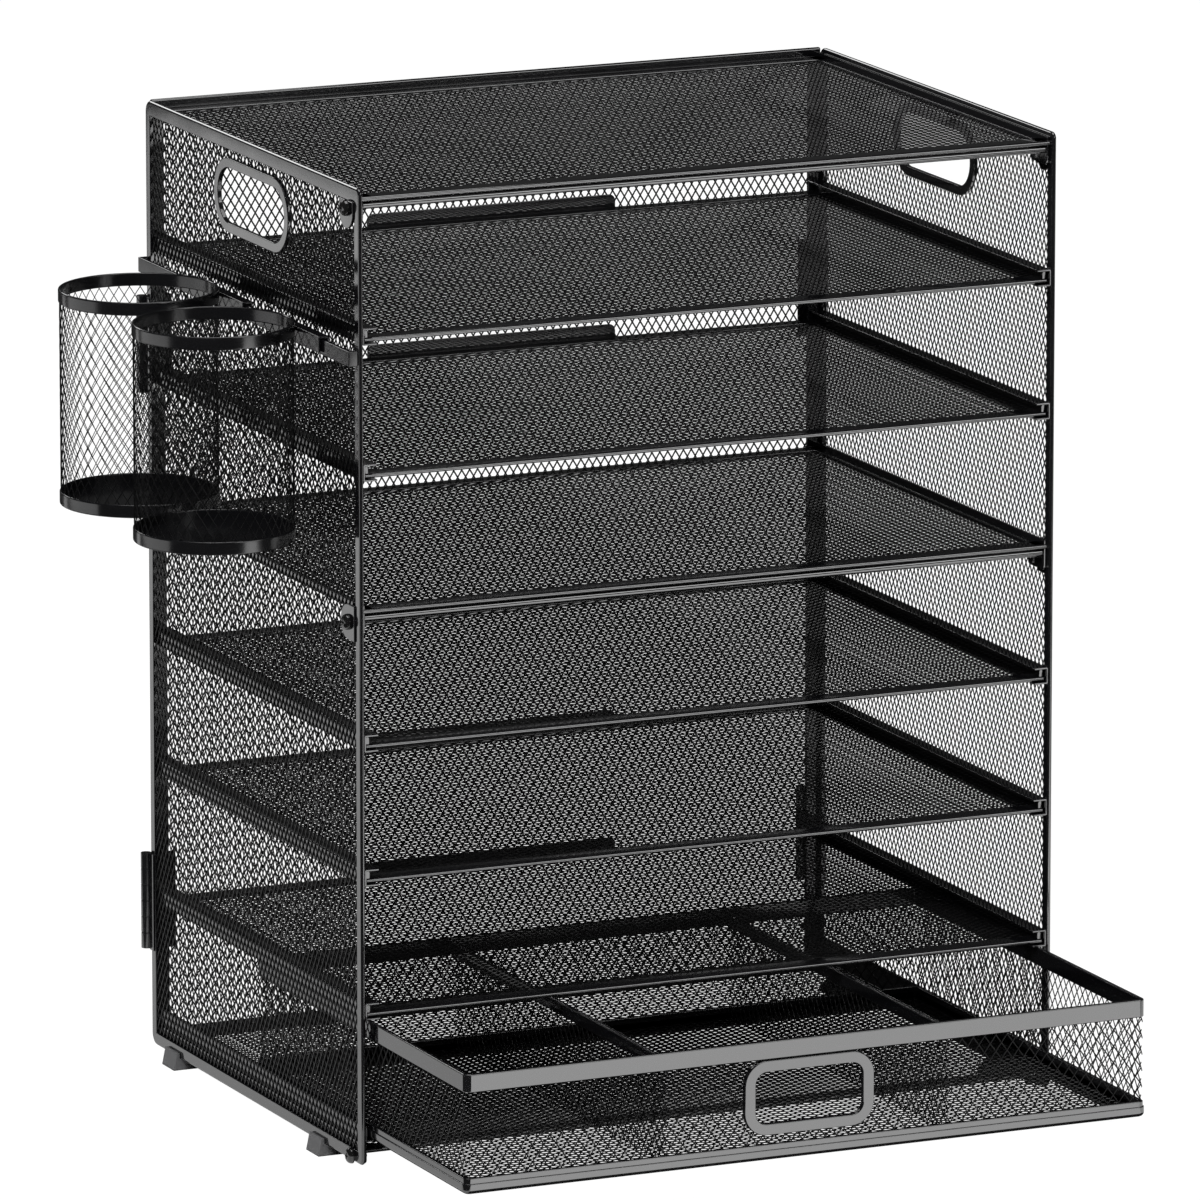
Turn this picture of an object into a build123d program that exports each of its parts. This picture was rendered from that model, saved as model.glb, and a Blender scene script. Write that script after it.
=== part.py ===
from build123d import *
import math
import os

# Paper organizer of black coated steel mesh: two side panels and a back panel, three screwed decks,
# five sliding paper trays, one drawer with two dividers and two pen cups that hang on the left panel.
# x runs to the right from the left panel's outer face, y to the rear from the panels' front edges and
# z up from their bottom edges. The whole is moved at the end to the middle of its own footprint.

# Cabinet
width = 330.0
depth = 238.0
panel_height = 428.0
panel_thickness = 2.0
post_width = 5.0
back_post_width = 6.0
top_band = 6.5
bottom_band = 5.5
front_corner = 3.0
rear_corner = 5.0

# Steel mesh: the model keeps one strand in every few of the real sheet
real_cell_width = 3.9
real_cell_height = 6.4
strands_per_kept = 8
mesh_thickness = 1.0
mesh_layer_gap = 0.1
strand_width = 1.8
mesh_seat = 2.0

# Carrying holes in the side panels
handle_width = 74.0
handle_height = 24.4
handle_corner = 12.0
handle_band = 4.25
handle_ring_thickness = 2.6
handle_drop = 27.0

# Levels of the front wires: top deck, two trays, middle deck, three trays, bottom deck
top_deck_drop = 4.9
top_bay = 60.9
drawer_bay = 60.4
bottom_level = 6.0
trays_over_middle = 2
trays_under_middle = 3

# Trays and decks
front_wire = 2.0
front_wire_setback = 2.9
border = 8.0
border_thickness = 1.8
tray_hem = 2.0
tray_hem_height = 4.3
tray_hem_round = 0.9
lip_width = 121.0
lip_height = 6.8
lip_thickness = 1.2
lip_corner = 3.0
tray_back_gap = 1.0
deck_flange = 1.5
deck_flange_height = 2.7
ear_depth = 16.0
ear_reach = 5.0
bottom_ear_reach = 2.25
ear_corner = 2.0
tube_diameter = 3.2
tube_setback = 2.2
tube_drop = 3.1

# Rails for the trays and runners for the drawer
rail_depth = 6.6
rail_wall = 0.8
rail_corner = 0.7
rail_end_gap = 0.6
slide_gap = 0.3
side_gap = 0.5
runner_depth = 8.0
runner_height = 7.0

# Screws, their plates and nuts
screw_setback = 11.5
screw_head = 7.0
screw_head_height = 2.6
screw_head_edge = 1.1
screw_shank = 3.0
screw_length = 6.5
screw_hole = 3.3
plate_proud = 0.75
plate_width = 14.5
plate_height = 12.2
middle_plate_height = 15.5
top_screw_drop = 4.8
middle_screw_drop = 5.7
bottom_screw_drop = 3.75
nut_width = 5.5
nut_height = 2.4

# Feet
foot_length = 14.0
foot_drop = 5.3
foot_toe = 2.65
foot_grip = 2.7
foot_wall = 1.5
foot_flare = 1.7
foot_inner_reach = 5.5
foot_inset = 48.0
rear_foot_inset = 26.0

# Hinges between the side panels and the back panel
hinge_height = 44.0
lower_hinge_rise = 65.0
upper_hinge_drop = 110.0
hinge_barrel = 4.8
hinge_pin = 2.0
hinge_pin_gap = 0.15
hinge_leaf = 0.8
hinge_side_reach = 4.6
hinge_back_reach = 12.0
hinge_out = 1.0
hinge_behind = 2.8
hinge_knuckles = 6
hinge_gap = 0.4

# Drawer
drawer_side_gap = 2.0
drawer_rear_gap = 8.0
drawer_open = 101.5
drawer_wall = 2.0
drawer_corner = 3.0
drawer_inner_corner = 0.5
drawer_rim = 8.0
drawer_foot_band = 7.0
foot_ridge = 4.6
foot_ridge_proud = 0.5
drawer_flange = 8.0
drawer_flange_thickness = 1.2
drawer_runner_level = 11.1
drawer_head_gap = 0.4
drawer_cell_share = 0.5
divider_inset = 94.3
divider_rail = 6.0
divider_drop = 2.9
divider_thickness = 2.0
pull_width = 51.0
pull_height = 23.0
pull_band = 5.0
pull_corner = 9.0
pull_ring_thickness = 3.0
pull_level = 39.0

# Pen cups and the bar that they hang on
cup_diameter = 70.0
cup_height = 95.0
cup_band = 5.8
cup_band_wall = 1.4
cup_wall = 0.8
cup_floor = 1.0
cup_rise = 5.0
cup_setbacks = (63.0, 147.0)
cup_cells_round = 14
cup_cells_high = 3
bar_thickness = 2.0
bar_height = 6.6
bar_drop = 70.0
bar_standoff = 2.4
bar_end_inset = 1.2
hook_length = 66.0
hook_height = 7.0
hook_wall = 1.0
hook_gap = 0.5

# Worked out from the sizes above
mesh_start = (panel_thickness - mesh_thickness) / 2
handle_centre = (depth / 2, panel_height - handle_drop)
cell_width = real_cell_width * strands_per_kept
cell_height = real_cell_height * strands_per_kept
wire_radius = front_wire / 2
largest_round = 0.45
top_level = panel_height - top_deck_drop
first_tray = top_level - top_bay
last_tray = bottom_level + drawer_bay
shelf_pitch = (first_tray - last_tray) / (trays_over_middle + trays_under_middle)
shelf_levels = [first_tray - step * shelf_pitch for step in range(trays_over_middle + trays_under_middle + 1)]
middle_level = shelf_levels[trays_over_middle]
tray_levels = [z for z in shelf_levels if z != middle_level]
tray_side = panel_thickness + rail_wall + side_gap
tray_rear = depth - panel_thickness - tray_back_gap
deck_rear = depth - panel_thickness
rail_below = wire_radius + slide_gap + rail_wall
rail_above = tray_hem_height + slide_gap + rail_wall
deck_screws = (
    (top_level - top_screw_drop, plate_proud),
    (middle_level - middle_screw_drop, plate_proud),
    (bottom_level - bottom_screw_drop, 0.0),
)
hinge_centres = (lower_hinge_rise, panel_height - upper_hinge_drop)
drawer_left = panel_thickness + drawer_side_gap
drawer_width = width - 2 * drawer_left
drawer_length = depth - panel_thickness - drawer_rear_gap
drawer_front = -drawer_open
drawer_rear = drawer_front + drawer_length
drawer_bottom = drawer_runner_level + slide_gap
drawer_top = min(tray_levels) - rail_below - drawer_head_gap
bar_top_level = panel_height - bar_drop
cup_top_level = bar_top_level + cup_rise
bar_outer = -bar_standoff - bar_thickness
hook_outer = bar_outer - hook_gap - hook_wall
cup_axis_x = hook_outer - cup_diameter / 2


def rectangle(u_low, u_high, v_low, v_high):
    return Pos((u_low + u_high) / 2, (v_low + v_high) / 2) * Rectangle(u_high - u_low, v_high - v_low)


def rounded(centre, size_u, size_v, corner):
    return Pos(*centre) * RectangleRounded(size_u, size_v, corner)


def across(sketch, x, thickness):
    # A sketch drawn in (y, z) becomes a plate from x to x + thickness
    return extrude(Plane.YZ.offset(x) * sketch, thickness)


def facing(sketch, y, thickness):
    # A sketch drawn in (x, z) becomes a plate from y to y + thickness
    return extrude(Plane.XZ.offset(-y) * sketch, -thickness)


def level(sketch, z, thickness):
    # A sketch drawn in (x, y) becomes a plate from z to z + thickness
    return extrude(Plane.XY.offset(z) * sketch, thickness)


def mirrored(shape):
    return mirror(shape, about=Plane.YZ.offset(width / 2))


def group(shapes):
    return Compound(children=[solid for shape in shapes for solid in shape.solids()])


def strands(region, lean, cell_u, cell_v):
    # One family of parallel strands, cut to the region of the sheet
    box = region.bounding_box()
    slope = lean * cell_u / cell_v
    middle = box.size.Y / 2
    spread = abs(slope) * middle
    first = math.floor((box.min.X - spread - slope * middle) / cell_u)
    last = math.ceil((box.max.X + spread - slope * middle) / cell_u)
    angle = math.degrees(math.atan2(cell_v, lean * cell_u))
    past_both_edges = 2 * (box.size.X + box.size.Y)
    strip = Rot(0, 0, angle) * Rectangle(past_both_edges, strand_width)
    strips = [
        Pos(step * cell_u + slope * middle, box.min.Y + middle) * strip
        for step in range(first, last + 1)
    ]
    return (Sketch() + strips) & region


def mesh_sheet(sheet, window, place, start, cell_u=cell_width, cell_v=cell_height):
    # Crossing strands in two layers, joined round the window by the hem that the frame clamps
    hem = sheet - window
    layer = (mesh_thickness - mesh_layer_gap) / 2
    near = place(hem + strands(sheet, 1, cell_u, cell_v), start, layer)
    middle = place(hem, start + layer, mesh_layer_gap)
    far = place(hem + strands(sheet, -1, cell_u, cell_v), start + layer + mesh_layer_gap, layer)
    return near + middle + far


def screw_spots(radius):
    return [Pos(screw_setback, z) * Circle(radius) for z, seat in deck_screws]


def side_panel():
    # Folded frame, mesh clamped in its fold and a ring round the carrying hole
    outline = rectangle(0, depth, 0, panel_height)
    outline = fillet(outline.vertices().group_by(Axis.X)[0], front_corner)
    outline = fillet(outline.vertices().group_by(Axis.X)[-1], rear_corner)
    window = rectangle(post_width, depth - post_width, bottom_band, panel_height - top_band)
    sheet = rectangle(
        post_width - mesh_seat,
        depth - post_width + mesh_seat,
        bottom_band - mesh_seat,
        panel_height - top_band + mesh_seat,
    )

    def hole(grow):
        return rounded(
            handle_centre, handle_width + 2 * grow, handle_height + 2 * grow, handle_corner + grow
        )

    sheet -= hole(handle_band - mesh_seat)
    fold = across(sheet, mesh_start, mesh_thickness)
    screw_holes = screw_spots(screw_hole / 2)
    frame = across(outline - window - screw_holes, 0, panel_thickness) - fold
    mesh = mesh_sheet(sheet - screw_holes, window - hole(handle_band), across, mesh_start)
    ring_start = (panel_thickness - handle_ring_thickness) / 2
    ring = across(hole(handle_band) - hole(0), ring_start, handle_ring_thickness) - fold
    return frame, mesh, ring


def screw_plates():
    # Stiffening plates on the mesh under the upper two screws
    top_edge = panel_height - top_band
    round_centre = top_edge - plate_height + plate_width / 2
    rear = post_width + plate_width
    top = rectangle(post_width, rear, round_centre, top_edge)
    top += Pos(post_width + plate_width / 2, round_centre) * Circle(plate_width / 2)
    top &= rectangle(post_width, rear, top_edge - plate_height, top_edge)
    middle = middle_level - middle_screw_drop
    half = middle_plate_height / 2
    lower = rectangle(post_width, rear - half, middle - half, middle + half)
    lower += Pos(rear - half, middle) * Circle(half)
    lower &= rectangle(post_width, rear, middle - half, middle + half)
    thickness = plate_proud + mesh_start
    return [across(plate - screw_spots(screw_hole / 2), -plate_proud, thickness) for plate in (top, lower)]


def screw(z, seat):
    spot = Pos(screw_setback, z)
    head = across(spot * Circle(screw_head / 2), -seat - screw_head_height, screw_head_height)
    head = chamfer(head.edges().sort_by(Axis.X)[0], screw_head_edge)
    return head + across(spot * Circle(screw_shank / 2), -seat, seat + screw_length)


def nut(z):
    outline = RegularPolygon(nut_width / 2, 6, major_radius=False) - Circle(screw_hole / 2)
    return across(Pos(screw_setback, z) * outline, panel_thickness + deck_flange, nut_height)


def back_panel():
    left = panel_thickness
    right = width - panel_thickness
    outline = rectangle(left, right, 0, panel_height)
    window = rectangle(
        left + back_post_width, right - back_post_width, bottom_band, panel_height - top_band
    )
    sheet = rectangle(
        left + back_post_width - mesh_seat,
        right - back_post_width + mesh_seat,
        bottom_band - mesh_seat,
        panel_height - top_band + mesh_seat,
    )
    front = depth - panel_thickness
    fold = facing(sheet, front + mesh_start, mesh_thickness)
    frame = facing(outline - window, front, panel_thickness) - fold
    return frame, mesh_sheet(sheet, window, facing, front + mesh_start)


def hinge(centre):
    # Two leaves with interleaved knuckles round one pin, at a rear corner
    low = centre - hinge_height / 2
    axis = (-hinge_out, depth + hinge_behind)
    pitch = hinge_height / hinge_knuckles
    barrel = Pos(*axis) * Circle(hinge_barrel / 2)
    bore = Pos(*axis) * Circle(hinge_pin / 2 + hinge_pin_gap)
    side_web = rectangle(-hinge_leaf, 0, depth - hinge_gap, axis[1])
    back_web = rectangle(axis[0], hinge_gap, depth, depth + hinge_leaf)
    high = low + hinge_height
    side_leaf = rectangle(depth - hinge_side_reach, depth - hinge_gap, low, high)
    side_leaf = across(side_leaf, -hinge_leaf, hinge_leaf)
    back_leaf = facing(rectangle(hinge_gap, hinge_back_reach, low, high), depth, hinge_leaf)
    for step in range(hinge_knuckles):
        start = low + step * pitch + hinge_gap / 2
        if step % 2:
            back_leaf += level(barrel + back_web - bore, start, pitch - hinge_gap)
        else:
            side_leaf += level(barrel + side_web - bore, start, pitch - hinge_gap)
    pin = level(Pos(*axis) * Circle(hinge_pin / 2), low, hinge_height)
    return side_leaf, back_leaf, pin


def foot(start):
    # Clip that grips the bottom band from below, flared outwards
    outer = -foot_wall
    inner = panel_thickness + foot_wall
    section = make_face(
        Polyline(
            (outer - foot_flare, -foot_drop),
            (inner + foot_inner_reach, -foot_drop),
            (inner + foot_inner_reach, foot_toe - foot_drop),
            (inner, foot_grip),
            (panel_thickness, foot_grip),
            (panel_thickness, 0),
            (0, 0),
            (0, foot_grip),
            (outer, foot_grip),
            close=True,
        )
    )
    return facing(section, start, foot_length)


def tray_rail(z):
    # C-section open to the inside, welded to the front and rear posts
    outer = rectangle(panel_thickness, panel_thickness + rail_depth, z - rail_below, z + rail_above)
    outer = fillet(outer.vertices().group_by(Axis.X)[0], rail_corner)
    inner = rectangle(
        panel_thickness + rail_wall,
        panel_thickness + rail_depth,
        z - rail_below + rail_wall,
        z + rail_above - rail_wall,
    )
    return facing(outer - inner, rail_end_gap, depth - panel_thickness - 2 * rail_end_gap)


def drawer_runner():
    # Angle under the drawer's side, welded to the posts
    left = panel_thickness
    floor = drawer_runner_level - rail_wall
    section = rectangle(left, left + runner_depth, floor, drawer_runner_level)
    section += rectangle(left, left + rail_wall, floor, floor + runner_height)
    return facing(section, rail_end_gap, depth - panel_thickness - 2 * rail_end_gap)


def bordered_floor(left, right, rear, side, z):
    # Front and rear borders, a rolled front wire and a mesh floor, with the sheet that fills the fold
    front = front_wire_setback
    window = rectangle(left + side, right - side, front + border, rear - border)
    ring = level(rectangle(left, right, front, rear) - window, z - border_thickness / 2, border_thickness)
    wire = across(Pos(front, z) * Circle(wire_radius), left, right - left)
    sheet = rectangle(
        left + side / 2, right - side / 2, front + border - mesh_seat, rear - border + mesh_seat
    )
    start = z - mesh_thickness / 2
    return ring + wire, level(sheet, start, mesh_thickness), mesh_sheet(sheet, window, level, start)


def tray(z):
    left = tray_side
    right = width - tray_side
    front = front_wire_setback
    frame, fold, mesh = bordered_floor(left, right, tray_rear, tray_hem, z)
    hem = rectangle(left, left + tray_hem, z - wire_radius, z + tray_hem_height)
    hem = fillet(hem.vertices().group_by(Axis.Y)[-1], min(tray_hem_round, tray_hem * largest_round))
    side = facing(hem, front, tray_rear - front)
    lip = rectangle((width - lip_width) / 2, (width + lip_width) / 2, z, z + lip_height)
    lip = fillet(lip.vertices().group_by(Axis.Y)[-1], lip_corner)
    frame += side
    frame += mirrored(side)
    frame += facing(lip, tray_rear - lip_thickness, lip_thickness)
    return frame - fold, mesh


def deck(z, screw_drop, reach):
    # Fixed shelf: flanged sides with a screw ear at each front corner
    left = panel_thickness
    right = width - panel_thickness
    front = front_wire_setback
    frame, fold, mesh = bordered_floor(left, right, deck_rear, deck_flange, z)
    side = rectangle(front, deck_rear, z - border_thickness / 2, z + deck_flange_height)
    ear = rectangle(front, front + ear_depth, z - screw_drop - reach, z)
    ear = fillet(ear.vertices().group_by(Axis.Y)[0], ear_corner)
    flange = across(side + ear - screw_spots(screw_hole / 2), left, deck_flange)
    frame += flange
    frame += mirrored(flange)
    return frame - fold, mesh


def deck_tube(z):
    start = panel_thickness + deck_flange
    spot = Pos(front_wire_setback + tube_setback, z - tube_drop)
    return across(spot * Circle(tube_diameter / 2), start, width - 2 * start)


def drawer():
    right = drawer_left + drawer_width
    centre = (width / 2, (drawer_front + drawer_rear) / 2)

    def ring(inset):
        corner = max(drawer_corner - inset, drawer_inner_corner)
        return rounded(centre, drawer_width - 2 * inset, drawer_length - 2 * inset, corner)

    rim_floor = drawer_top - drawer_rim
    band_top = drawer_bottom + drawer_foot_band
    wall_low = band_top - mesh_seat
    wall_high = rim_floor + mesh_seat
    base_level = drawer_bottom + drawer_flange_thickness
    wall_start = (drawer_wall - mesh_thickness) / 2
    cell = (cell_width * drawer_cell_share, cell_height * drawer_cell_share)

    def pull(grow):
        return rounded(
            (width / 2, pull_level), pull_width + 2 * grow, pull_height + 2 * grow, pull_corner + grow
        )

    inner_left = drawer_left + drawer_wall
    inner_right = right - drawer_wall
    inner_front = drawer_front + drawer_wall
    inner_rear = drawer_rear - drawer_wall
    end_sheet = rectangle(inner_left, inner_right, wall_low, wall_high)
    end_window = rectangle(inner_left + mesh_seat, inner_right - mesh_seat, band_top, rim_floor)
    front_sheet = end_sheet - pull(pull_band - mesh_seat)
    front_window = end_window - pull(pull_band)
    side_sheet = rectangle(inner_front, inner_rear, wall_low, wall_high)
    side_window = rectangle(inner_front + mesh_seat, inner_rear - mesh_seat, band_top, rim_floor)
    base = ring(drawer_wall)
    base_window = ring(drawer_wall + mesh_seat)
    front_start = drawer_front + wall_start
    rear_start = drawer_rear - wall_start - mesh_thickness
    left_start = drawer_left + wall_start
    right_start = right - wall_start - mesh_thickness
    front_fold = facing(front_sheet, front_start, mesh_thickness)
    folds = front_fold + facing(end_sheet, rear_start, mesh_thickness)
    folds += across(side_sheet, left_start, mesh_thickness)
    folds += across(side_sheet, right_start, mesh_thickness)
    rim = level(ring(0) - ring(drawer_wall), rim_floor, drawer_rim) - folds
    band = level(ring(0) - ring(drawer_wall), drawer_bottom, drawer_foot_band)
    band += level(ring(-foot_ridge_proud) - ring(drawer_wall), drawer_bottom, foot_ridge)
    band += level(ring(0) - ring(drawer_wall + drawer_flange), drawer_bottom, drawer_flange_thickness)
    proud = (pull_ring_thickness - mesh_thickness) / 2
    pull_ring = facing(pull(pull_band) - pull(0), front_start - proud, pull_ring_thickness) - front_fold
    return {
        "drawer_rim": rim,
        "drawer_foot_band": band - folds,
        "drawer_base_mesh": mesh_sheet(base, base_window, level, base_level),
        "drawer_front_mesh": mesh_sheet(front_sheet, front_window, facing, front_start, *cell),
        "drawer_back_mesh": mesh_sheet(end_sheet, end_window, facing, rear_start, *cell),
        "drawer_left_mesh": mesh_sheet(side_sheet, side_window, across, left_start, *cell),
        "drawer_right_mesh": mesh_sheet(side_sheet, side_window, across, right_start, *cell),
        "drawer_pull_ring": pull_ring,
        **divider("left", drawer_left + divider_inset, base_level + mesh_thickness, cell),
        **divider("right", right - divider_inset, base_level + mesh_thickness, cell),
    }


def divider(side, x, floor, cell):
    front = drawer_front + drawer_wall
    rear = drawer_rear - drawer_wall
    head = drawer_top - divider_drop
    rail = rectangle(front, rear, head - divider_rail, head)
    sheet = rectangle(front, rear, floor, head - divider_rail + mesh_seat)
    window = rectangle(front + mesh_seat, rear - mesh_seat, floor + mesh_seat, head - divider_rail)
    start = x - mesh_thickness / 2
    fold = across(sheet, start, mesh_thickness)
    return {
        f"drawer_{side}_divider_rail": across(rail, x - divider_thickness / 2, divider_thickness) - fold,
        f"drawer_{side}_divider_mesh": mesh_sheet(sheet, window, across, start, *cell),
    }


def cup_bar():
    # Flat bar held off the panel by its bent ends
    low = bar_end_inset
    high = depth - bar_end_inset
    plan = rectangle(bar_outer, -bar_standoff, low, high)
    plan += rectangle(-bar_standoff, 0, low, low + bar_thickness)
    plan += rectangle(-bar_standoff, 0, high - bar_thickness, high)
    return level(plan, bar_top_level - bar_height, bar_height)


def cup_tube():
    # Rolled sheet with its hems, round the z axis, from the lower hem's edge up
    outer = cup_diameter / 2 - (cup_band_wall - cup_wall) / 2
    plan = Circle(outer) - Circle(outer - cup_wall)
    return level(plan, 0, cup_height - 2 * (cup_band - mesh_seat)), outer


def cup_mesh():
    # Staggered diamond cells cut through the rolled sheet, whole ones and halves at the hems
    tube, outer = cup_tube()
    window_height = cup_height - 2 * cup_band
    half_width = math.pi * outer / cup_cells_round
    half_height = window_height / cup_cells_high / 2
    open_share = 1 - strand_width / 2 * math.hypot(1 / half_width, 1 / half_height)
    diamond = make_face(
        Polyline(
            (half_width * open_share, 0),
            (0, half_height * open_share),
            (-half_width * open_share, 0),
            (0, -half_height * open_share),
            close=True,
        )
    )
    window = rectangle(-half_width, half_width, mesh_seat, mesh_seat + window_height)
    cutters = []
    for row in range(2 * cup_cells_high + 1):
        cell = window & Pos(0, mesh_seat + row * half_height) * diamond
        cutter = extrude(Plane.XZ * cell, -cup_diameter)
        turns = [(step + row % 2 / 2) / cup_cells_round for step in range(cup_cells_round)]
        cutters += [Rot(0, 0, 360 * turn) * cutter for turn in turns]
    return tube - cutters


def cup(name, y, mesh):
    axis = Pos(cup_axis_x, y)
    radius = cup_diameter / 2
    bottom = cup_top_level - cup_height
    band = axis * (Circle(radius) - Circle(radius - cup_band_wall))
    seat = axis * Pos(0, 0, bottom + cup_band - mesh_seat)
    wall = seat * cup_tube()[0]
    base = level(band, bottom, cup_band) + level(axis * Circle(radius), bottom, cup_floor)
    hook_top = bar_top_level + hook_gap + hook_wall
    hook_inner = -bar_standoff + hook_gap + hook_wall
    section = rectangle(hook_outer, hook_inner, hook_top - hook_height, hook_top)
    section -= rectangle(
        hook_outer + hook_wall, hook_inner - hook_wall, hook_top - hook_height, hook_top - hook_wall
    )
    return {
        f"{name}_rim": level(band, cup_top_level - cup_band, cup_band) - wall,
        f"{name}_wall": seat * mesh,
        f"{name}_base": base - wall,
        f"{name}_hook": facing(section, y - hook_length / 2, hook_length),
    }


pieces = {}

side_frame, side_mesh, side_ring = side_panel()
for side, turn in (("left", lambda shape: shape), ("right", mirrored)):
    pieces[f"{side}_side_frame"] = turn(side_frame)
    pieces[f"{side}_side_mesh"] = turn(side_mesh)
    pieces[f"{side}_handle_ring"] = turn(side_ring)
    pieces[f"{side}_tray_rails"] = turn(group([tray_rail(z) for z in tray_levels]))

pieces["back_frame"], pieces["back_mesh"] = back_panel()

for name, z, drop, reach in (
    ("top_deck", top_level, top_screw_drop, ear_reach),
    ("middle_deck", middle_level, middle_screw_drop, ear_reach),
    ("bottom_deck", bottom_level, bottom_screw_drop, bottom_ear_reach),
):
    pieces[f"{name}_frame"], pieces[f"{name}_mesh"] = deck(z, drop, reach)

pieces["top_deck_tube"] = deck_tube(top_level)
pieces["middle_deck_tube"] = deck_tube(middle_level)

hinges = [hinge(centre) for centre in hinge_centres]
feet = [foot(foot_inset - foot_length / 2), foot(depth - rear_foot_inset - foot_length / 2)]
paired = {
    "screw_plates": screw_plates(),
    "deck_screws": [screw(z, seat) for z, seat in deck_screws],
    "deck_nuts": [nut(z) for z, seat in deck_screws],
    "drawer_runners": [drawer_runner()],
    "hinge_side_leaves": [leaves[0] for leaves in hinges],
    "hinge_back_leaves": [leaves[1] for leaves in hinges],
    "hinge_pins": [leaves[2] for leaves in hinges],
    "feet": feet,
}
for name, shapes in paired.items():
    pieces[name] = group(shapes + [mirrored(shape) for shape in shapes])

for number, z in enumerate(tray_levels, start=1):
    pieces[f"tray_{number}_frame"], pieces[f"tray_{number}_mesh"] = tray(z)

pieces.update(drawer())
pieces["cup_bar"] = cup_bar()
cup_wall_mesh = cup_mesh()
pieces.update(cup("front_cup", cup_setbacks[0], cup_wall_mesh))
pieces.update(cup("rear_cup", cup_setbacks[1], cup_wall_mesh))

# The origin is the middle of the footprint, on the floor under the feet
boxes = [shape.bounding_box() for shape in pieces.values()]
low_x = min(box.min.X for box in boxes)
high_x = max(box.max.X for box in boxes)
low_y = min(box.min.Y for box in boxes)
high_y = max(box.max.Y for box in boxes)
low_z = min(box.min.Z for box in boxes)
origin = Pos(-(low_x + high_x) / 2, -(low_y + high_y) / 2, -low_z)

os.makedirs("parts", exist_ok=True)
for name, shape in pieces.items():
    export_step(origin * shape, f"parts/{name}.step")
print(len(pieces), "pieces, moved by", origin.position)
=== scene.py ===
import bpy
import math
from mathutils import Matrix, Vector


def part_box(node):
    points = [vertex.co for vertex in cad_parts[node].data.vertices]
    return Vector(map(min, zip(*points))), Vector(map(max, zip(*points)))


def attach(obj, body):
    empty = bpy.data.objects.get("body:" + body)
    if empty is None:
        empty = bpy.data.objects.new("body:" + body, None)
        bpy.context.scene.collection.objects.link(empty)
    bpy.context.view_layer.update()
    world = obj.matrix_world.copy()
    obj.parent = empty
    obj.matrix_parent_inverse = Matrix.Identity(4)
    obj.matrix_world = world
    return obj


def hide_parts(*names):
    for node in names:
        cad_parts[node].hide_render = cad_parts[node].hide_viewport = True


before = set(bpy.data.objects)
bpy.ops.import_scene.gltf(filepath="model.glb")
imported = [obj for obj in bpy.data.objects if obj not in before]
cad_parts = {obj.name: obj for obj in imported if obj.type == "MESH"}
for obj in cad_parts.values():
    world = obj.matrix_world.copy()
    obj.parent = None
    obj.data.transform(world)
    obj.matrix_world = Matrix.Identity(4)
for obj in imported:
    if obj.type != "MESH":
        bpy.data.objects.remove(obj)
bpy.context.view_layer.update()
mm = 0.001
print("frame loaded,", len(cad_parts), "nodes")

# Places are in millimetres from the left panel's outer, front, lower corner
corner = Vector(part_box("left_side_frame")[0]) / mm


def span(node):
    low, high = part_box(node)
    return Vector(low) / mm - corner, Vector(high) / mm - corner


def at(place):
    return (Vector(place) + corner) * mm


def pick(*pieces):
    bpy.ops.object.select_all(action="DESELECT")
    for piece in pieces:
        piece.select_set(True)
    bpy.context.view_layer.objects.active = pieces[0]


def settle(piece):
    pick(piece)
    bpy.ops.object.transform_apply(location=True, rotation=True, scale=True)


def applyModifier(piece, kind, **settings):
    pick(piece)
    modifier = piece.modifiers.new(kind.lower(), kind)
    for name, value in settings.items():
        setattr(modifier, name, value)
    bpy.ops.object.modifier_apply(modifier=modifier.name)


def editAll(piece):
    pick(piece)
    bpy.ops.object.mode_set(mode="EDIT")
    bpy.ops.mesh.select_all(action="SELECT")


def editDone():
    bpy.ops.object.mode_set(mode="OBJECT")


def smoothen(piece, angle=35):
    # Round edges shade smoothly while the flat faces beside them stay flat
    pick(piece)
    bpy.ops.object.shade_smooth_by_angle(angle=math.radians(angle))
    applyModifier(piece, "WEIGHTED_NORMAL", keep_sharp=True)


def soften(piece, width, steps=3):
    # Rolled and coated edges are round
    applyModifier(
        piece, "BEVEL", width=width * mm, segments=steps, limit_method="ANGLE", angle_limit=math.radians(40)
    )
    smoothen(piece)


def joinAll(name, parts):
    pick(*parts)
    bpy.ops.object.join()
    joined = bpy.context.active_object
    joined.name = name
    joined.data.name = name
    return joined


def twinOf(piece, name):
    pick(piece)
    bpy.ops.object.duplicate()
    twin = bpy.context.active_object
    twin.name = name
    twin.data.name = name
    return twin


def copyOf(piece, name, shift):
    twin = twinOf(piece, name)
    twin.location = Vector(shift) * mm
    settle(twin)
    return twin


def mirrorOf(piece, name, smooth=True):
    # The same piece for the other side of the cabinet
    twin = twinOf(piece, name)
    twin.scale = (-1, 1, 1)
    twin.location = (2 * at((cabinet["middle"], 0, 0))[0], 0, 0)
    settle(twin)
    bpy.ops.mesh.customdata_custom_splitnormals_clear()
    editAll(twin)
    bpy.ops.mesh.normals_make_consistent(inside=False)
    editDone()
    if smooth:
        smoothen(twin)
    return twin


def addBlock(name, low, high):
    low, high = at(low), at(high)
    bpy.ops.mesh.primitive_cube_add(size=1, location=(low + high) / 2)
    block = bpy.context.active_object
    block.name = name
    block.scale = high - low
    settle(block)
    return block


def addRod(name, start, end, radius, sides):
    # Round bar along x
    start, end = at(start), at(end)
    bpy.ops.mesh.primitive_cylinder_add(
        vertices=sides, radius=radius * mm, depth=(end - start).length,
        location=(start + end) / 2, rotation=(0, math.radians(90), 0),
    )
    rod = bpy.context.active_object
    rod.name = name
    settle(rod)
    return rod


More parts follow.
